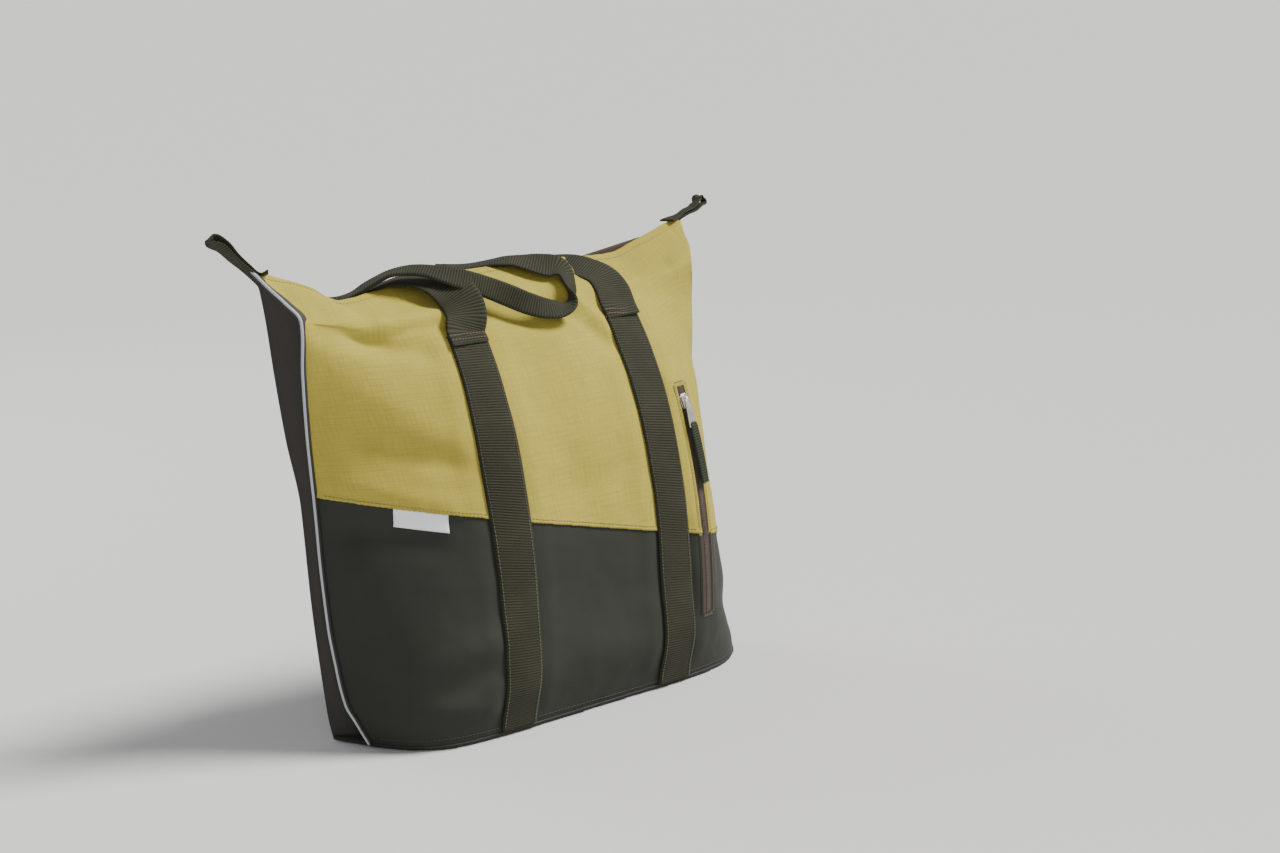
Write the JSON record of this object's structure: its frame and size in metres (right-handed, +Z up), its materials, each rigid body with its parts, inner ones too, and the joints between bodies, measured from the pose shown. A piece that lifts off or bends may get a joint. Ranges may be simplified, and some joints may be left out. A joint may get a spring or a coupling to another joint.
{
  "type": "pannier bag",
  "caption": "Zip-top fabric pannier shopper with webbing handles, a slanted two-tone front, an upright front pocket zip and sliding rack hooks on the back.",
  "frame": {"origin": "middle of the flat base, on the ground plane", "axes": "+Z up, the front face looks along -Y, the rack hooks are on the +Y side, -X is the end towards the rear of the bicycle"},
  "size_m": [0.5406, 0.1675, 0.4514],
  "materials": {
    "yellow_fabric": "matt grid weave",
    "coated_fabric": "smooth coated weave, slight sheen",
    "dark_fabric": "matt plain weave",
    "reflective_piping": "silver grey, satin",
    "stiffener": "smooth sheet",
    "label": "blank woven tag, satin",
    "webbing": "ribbed webbing",
    "ribbon": "narrow ribbed webbing",
    "zip_tape": "woven tape",
    "zip_coil": "satin coil",
    "nickel": "worn nickel",
    "black_plastic": "fine moulded grain",
    "grey_plastic": "fine moulded grain",
    "steel": "zinc plated"
  },
  "bodies": {
    "bag": {"front_panel_upper": "yellow_fabric", "front_panel_lower": "coated_fabric", "pocket_lining": "dark_fabric", "gusset_rear": "dark_fabric", "gusset_front": "dark_fabric", "piping_rear": "reflective_piping", "piping_front": "reflective_piping", "bottom_panel": "coated_fabric", "base_board": "stiffener", "back_panel": "dark_fabric", "back_board": "stiffener", "side_label": "label", "front_strap_rear": "webbing", "front_strap_front": "webbing", "back_straps": "webbing", "end_tab_rear": "webbing", "end_tab_front": "webbing", "top_zip_tape_back": "zip_tape", "top_zip_tape_front": "zip_tape", "top_zip_coil": "zip_coil", "pocket_zip_tape": "zip_tape", "pocket_zip_coil": "zip_coil", "hook_rail": "black_plastic", "lower_rail": "black_plastic", "rail_screws": "steel", "rail_nuts": "steel", "rail_end_caps": "black_plastic"},
    "front_handle": {"front_handle": "webbing"},
    "back_handle": {"back_handle": "webbing"},
    "top_slider": {"top_slider": "nickel"},
    "top_pull": {"top_pull": "nickel"},
    "pocket_slider": {"pocket_slider": "nickel"},
    "pocket_pull": {"pocket_pull": "nickel", "pocket_ribbon": "ribbon"},
    "rear_hook": {"rack_hook_rear": "black_plastic", "hook_insert_rear": "grey_plastic", "latch_pin_rear": "steel", "latch_springs_rear": "steel"},
    "rear_latch": {"latch_lever_rear": "grey_plastic"},
    "front_hook": {"rack_hook_front": "black_plastic", "hook_insert_front": "grey_plastic", "latch_pin_front": "steel", "latch_springs_front": "steel"},
    "front_latch": {"latch_lever_front": "grey_plastic"},
    "stabiliser_carriage": {"stabiliser_carriage": "black_plastic", "stabiliser_screw": "steel"},
    "stabiliser_hook": {"stabiliser_hook": "black_plastic"}
  },
  "joints": [
    {"name": "front_handle_lift", "type": "hinge", "parent": "bag", "child": "front_handle", "pos_m": [0, -0.02, 0.344], "axis": [1, 0, 0], "range_deg": [0, 40]},
    {"name": "back_handle_lift", "type": "hinge", "parent": "bag", "child": "back_handle", "pos_m": [0, 0.0672, 0.3536], "axis": [1, 0, 0], "range_deg": [0, 120]},
    {"name": "top_zip_slide", "type": "slide", "parent": "bag", "child": "top_slider", "axis": [1, 0, 0], "range_m": [-0.326, 0.006]},
    {"name": "top_pull_swing", "type": "hinge", "parent": "top_slider", "child": "top_pull", "pos_m": [0.162, 0.0617, 0.373], "axis": [1, 0, 0], "range_deg": [0, 150]},
    {"name": "pocket_zip_slide", "type": "hinge", "parent": "bag", "child": "pocket_slider", "pos_m": [-0.01421, 0.5618, 0.1173], "axis": [0.9724, 0.2334, 0], "range_deg": [-0.6, 16.6]},
    {"name": "pocket_pull_swing", "type": "hinge", "parent": "pocket_slider", "child": "pocket_pull", "pos_m": [0.13285, -0.05071, 0.25783], "axis": [-0.9724, -0.2334, 0], "range_deg": [0, 120]},
    {"name": "rear_hook_slide", "type": "slide", "parent": "bag", "child": "rear_hook", "axis": [1, 0, 0], "range_m": [-0.018, 0.018]},
    {"name": "rear_latch_swing", "type": "hinge", "parent": "rear_hook", "child": "rear_latch", "pos_m": [-0.128, 0.089, 0.306], "axis": [1, 0, 0], "range_deg": [0, 75], "stiffness_Nm_per_rad": 0.02, "springref_deg": -17.19},
    {"name": "front_hook_slide", "type": "slide", "parent": "bag", "child": "front_hook", "axis": [1, 0, 0], "range_m": [-0.018, 0.018]},
    {"name": "front_latch_swing", "type": "hinge", "parent": "front_hook", "child": "front_latch", "pos_m": [0.128, 0.089, 0.306], "axis": [1, 0, 0], "range_deg": [0, 75], "stiffness_Nm_per_rad": 0.02, "springref_deg": -17.19},
    {"name": "stabiliser_slide", "type": "slide", "parent": "bag", "child": "stabiliser_carriage", "axis": [1, 0, 0], "range_m": [-0.05, 0.07]},
    {"name": "stabiliser_swivel", "type": "hinge", "parent": "stabiliser_carriage", "child": "stabiliser_hook", "pos_m": [-0.04, 0.069, 0.1], "axis": [0, 1, 0], "range_deg": [-90, 90]}
  ]
}
